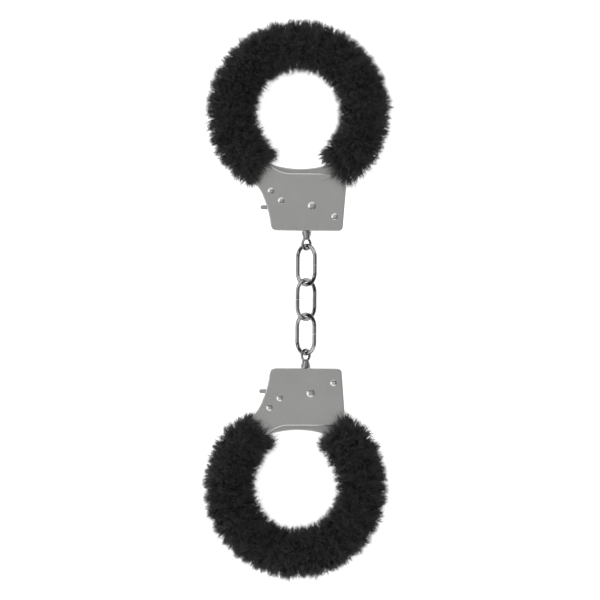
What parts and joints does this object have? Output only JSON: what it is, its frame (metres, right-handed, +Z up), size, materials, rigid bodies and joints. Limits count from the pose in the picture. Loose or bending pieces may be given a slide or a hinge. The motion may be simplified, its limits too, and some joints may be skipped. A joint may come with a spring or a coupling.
{
  "type": "handcuffs",
  "caption": "Furry handcuffs: two hinged rings in shaggy sleeves, each with a ratchet lock body, joined by swivels and a short chain.",
  "frame": {"origin": "on the surface that the cuffs lie on, under the middle of their box", "axes": "+Z up out of the front cheeks, +Y along the chain towards cuff a, +X to the side where the arms enter the lock bodies"},
  "size_m": [0.0886, 0.2732, 0.022],
  "materials": {
    "body_steel": "satin nickel-plated steel",
    "inner_steel": "dull steel with tool marks",
    "rivet_steel": "bright pressed rivet heads",
    "chain_chrome": "polished, with fine draw marks",
    "black_fur": "long shaggy artificial fur"
  },
  "bodies": {
    "cuff_a": {"cheek_front_a": "body_steel", "cheek_rear_a": "body_steel", "spacer_a": "inner_steel", "lock_frame_a": "inner_steel", "pawl_spring_a": "inner_steel", "pivot_rivet_a": "rivet_steel", "spacer_rivet_a": "rivet_steel", "pawl_pin_a": "rivet_steel", "frame_rivet_a": "rivet_steel", "key_post_a": "rivet_steel", "fixed_fur_a": "black_fur"},
    "arm_a": {"swing_arm_a": "inner_steel", "arm_fur_a": "black_fur"},
    "pawl_a": {"pawl_a": "inner_steel"},
    "swivel_a": {"swivel_eye_a": "chain_chrome"},
    "cuff_b": {"cheek_front_b": "body_steel", "cheek_rear_b": "body_steel", "spacer_b": "inner_steel", "lock_frame_b": "inner_steel", "pawl_spring_b": "inner_steel", "pivot_rivet_b": "rivet_steel", "spacer_rivet_b": "rivet_steel", "pawl_pin_b": "rivet_steel", "frame_rivet_b": "rivet_steel", "key_post_b": "rivet_steel", "fixed_fur_b": "black_fur"},
    "arm_b": {"swing_arm_b": "inner_steel", "arm_fur_b": "black_fur"},
    "pawl_b": {"pawl_b": "inner_steel"},
    "swivel_b": {"swivel_eye_b": "chain_chrome"},
    "link_1": {"chain_link_1": "chain_chrome"},
    "link_2": {"chain_link_2": "chain_chrome"},
    "link_3": {"chain_link_3": "chain_chrome"}
  },
  "joints": [
    {"name": "arm_swing_a", "type": "hinge", "parent": "cuff_a", "child": "arm_a", "pos_m": [0, 0.1263, 0.011], "axis": [0, 0, 1], "range_deg": [0, 90]},
    {"name": "pawl_swing_a", "type": "hinge", "parent": "cuff_a", "child": "pawl_a", "pos_m": [-0.0082, 0.04935, 0.011], "axis": [0, 0, -1], "range_deg": [-5, 1.5], "stiffness_Nm_per_rad": 0.2, "springref_deg": -14.32, "deforming": ["pawl_spring_a"]},
    {"name": "arm_swing_b", "type": "hinge", "parent": "cuff_b", "child": "arm_b", "pos_m": [0, -0.1263, 0.011], "axis": [0, 0, -1], "range_deg": [0, 90]},
    {"name": "pawl_swing_b", "type": "hinge", "parent": "cuff_b", "child": "pawl_b", "pos_m": [-0.0082, -0.04935, 0.011], "axis": [0, 0, 1], "range_deg": [-5, 1.5], "stiffness_Nm_per_rad": 0.2, "springref_deg": -14.32, "deforming": ["pawl_spring_b"]},
    {"name": "swivel_turn_a", "type": "hinge", "parent": "cuff_a", "child": "swivel_a", "pos_m": [0.0046, 0.0363, 0.011], "axis": [0, 1, 0], "continuous": true},
    {"name": "link_1_swing", "type": "hinge", "parent": "swivel_a", "child": "link_1", "pos_m": [0.0046, 0.02633, 0.011], "axis": [0, 0, 1], "range_deg": [-30, 30]},
    {"name": "link_2_swing", "type": "hinge", "parent": "link_1", "child": "link_2", "pos_m": [0.0046, 0.00863, 0.011], "axis": [0, 0, 1], "range_deg": [-35, 35]},
    {"name": "link_3_swing", "type": "hinge", "parent": "link_2", "child": "link_3", "pos_m": [0.0046, -0.00863, 0.011], "axis": [0, 0, 1], "range_deg": [-35, 35]},
    {"name": "eye_b_swing", "type": "hinge", "parent": "link_3", "child": "swivel_b", "pos_m": [0.0046, -0.02633, 0.011], "axis": [0, 0, 1], "range_deg": [-30, 30]},
    {"name": "swivel_turn_b", "type": "hinge", "parent": "swivel_b", "child": "cuff_b", "pos_m": [0.0046, -0.0363, 0.011], "axis": [0, 1, 0], "continuous": true}
  ]
}
